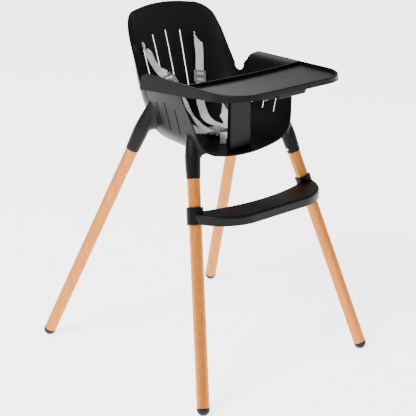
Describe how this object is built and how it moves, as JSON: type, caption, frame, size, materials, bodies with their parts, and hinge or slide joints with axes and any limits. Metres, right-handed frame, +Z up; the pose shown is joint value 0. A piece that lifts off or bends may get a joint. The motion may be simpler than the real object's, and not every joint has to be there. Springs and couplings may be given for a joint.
{
  "type": "baby high chair",
  "caption": "Free-standing high chair with a moulded seat bucket on splayed tube legs, a removable sliding tray, a footrest and a strap harness.",
  "frame": {"origin": "on the floor at the centre of the footprint of the foot caps", "axes": "+Z up, -Y the way the child faces, +X towards the child's left"},
  "size_m": [0.6251, 0.6569, 0.903],
  "materials": {
    "black_plastic": "satin black moulded polypropylene",
    "tray_lining": "satin dark grey plastic sheet",
    "leg_finish": "glossy wood-look coating on steel tube",
    "foot_cap": "satin black plastic cap",
    "screw_steel": "zinc plated steel",
    "clip_steel": "spring steel with bare button",
    "webbing": "light grey woven webbing",
    "buckle_grey": "mid grey moulded plastic",
    "button_grey": "lighter grey moulded plastic"
  },
  "bodies": {
    "chair": {"seat_shell": "black_plastic", "leg_front_right": "leg_finish", "leg_front_left": "leg_finish", "leg_rear_right": "leg_finish", "leg_rear_left": "leg_finish", "foot_cap_front_right": "foot_cap", "foot_cap_front_left": "foot_cap", "foot_cap_rear_right": "foot_cap", "foot_cap_rear_left": "foot_cap", "leg_screws": "screw_steel", "footrest": "black_plastic", "crotch_post": "black_plastic", "crotch_post_screw": "screw_steel", "shoulder_strap_right": "webbing", "shoulder_strap_left": "webbing", "waist_strap_right": "webbing", "waist_strap_left": "webbing", "crotch_strap": "webbing", "strap_retainers": "buckle_grey", "crotch_strap_retainer": "buckle_grey", "buckle_body": "buckle_grey", "buckle_tongue_right": "buckle_grey", "buckle_tongue_left": "buckle_grey"},
    "tray": {"tray": "black_plastic", "tray_underside_cover": "black_plastic", "tray_cover_screws": "screw_steel"},
    "tray_insert": {"tray_insert": "tray_lining"},
    "release_paddle": {"tray_release_paddle": "black_plastic"},
    "latch_right": {"tray_latch_right": "black_plastic"},
    "latch_left": {"tray_latch_left": "black_plastic"},
    "buckle_button": {"buckle_button": "button_grey"},
    "adjuster_right": {"strap_adjuster_right": "buckle_grey"},
    "adjuster_left": {"strap_adjuster_left": "buckle_grey"},
    "clip_front_right": {"snap_clip_front_right": "clip_steel"},
    "clip_front_left": {"snap_clip_front_left": "clip_steel"},
    "clip_rear_right": {"snap_clip_rear_right": "clip_steel"},
    "clip_rear_left": {"snap_clip_rear_left": "clip_steel"}
  },
  "joints": [
    {"name": "tray_slide", "type": "slide", "parent": "chair", "child": "tray", "axis": [0, -1, 0], "range_m": [0, 0.04]},
    {"name": "insert_lift", "type": "slide", "parent": "tray", "child": "tray_insert", "axis": [0, 0, 1], "range_m": [0, 0.03]},
    {"name": "release_squeeze", "type": "slide", "parent": "tray", "child": "release_paddle", "axis": [0, -1, 0], "range_m": [0, 0.008], "stiffness_N_per_m": 1200, "springref_m": -0.003},
    {"name": "latch_right_slide", "type": "slide", "parent": "tray", "child": "latch_right", "axis": [-1, 0, 0], "range_m": [0, 0.0024]},
    {"name": "latch_left_slide", "type": "slide", "parent": "tray", "child": "latch_left", "axis": [1, 0, 0], "range_m": [0, 0.0024]},
    {"name": "buckle_press", "type": "slide", "parent": "chair", "child": "buckle_button", "axis": [0, 0, -1], "range_m": [0, 0.0018], "stiffness_N_per_m": 1500, "springref_m": -0.001},
    {"name": "adjuster_right_slide", "type": "slide", "parent": "chair", "child": "adjuster_right", "axis": [0.1429, -0.6486, -0.7476], "range_m": [0, 0.03]},
    {"name": "adjuster_left_slide", "type": "slide", "parent": "chair", "child": "adjuster_left", "axis": [-0.2195, -0.2854, -0.9329], "range_m": [0, 0.03]},
    {"name": "clip_front_right_press", "type": "slide", "parent": "chair", "child": "clip_front_right", "axis": [0.0581, -0.9583, 0.2798], "range_m": [0, 0.003], "stiffness_N_per_m": 2500, "springref_m": -0.001},
    {"name": "clip_front_left_press", "type": "slide", "parent": "chair", "child": "clip_front_left", "axis": [-0.0581, -0.9583, 0.2798], "range_m": [0, 0.003], "stiffness_N_per_m": 2500, "springref_m": -0.001},
    {"name": "clip_rear_right_press", "type": "slide", "parent": "chair", "child": "clip_rear_right", "axis": [0.0804, 0.9214, 0.3803], "range_m": [0, 0.003], "stiffness_N_per_m": 2500, "springref_m": -0.001},
    {"name": "clip_rear_left_press", "type": "slide", "parent": "chair", "child": "clip_rear_left", "axis": [-0.0804, 0.9214, 0.3803], "range_m": [0, 0.003], "stiffness_N_per_m": 2500, "springref_m": -0.001}
  ],
  "couplings": [
    {"joint": "latch_right_slide", "follows": "release_squeeze", "ratio": 0.3},
    {"joint": "latch_left_slide", "follows": "release_squeeze", "ratio": 0.3}
  ]
}
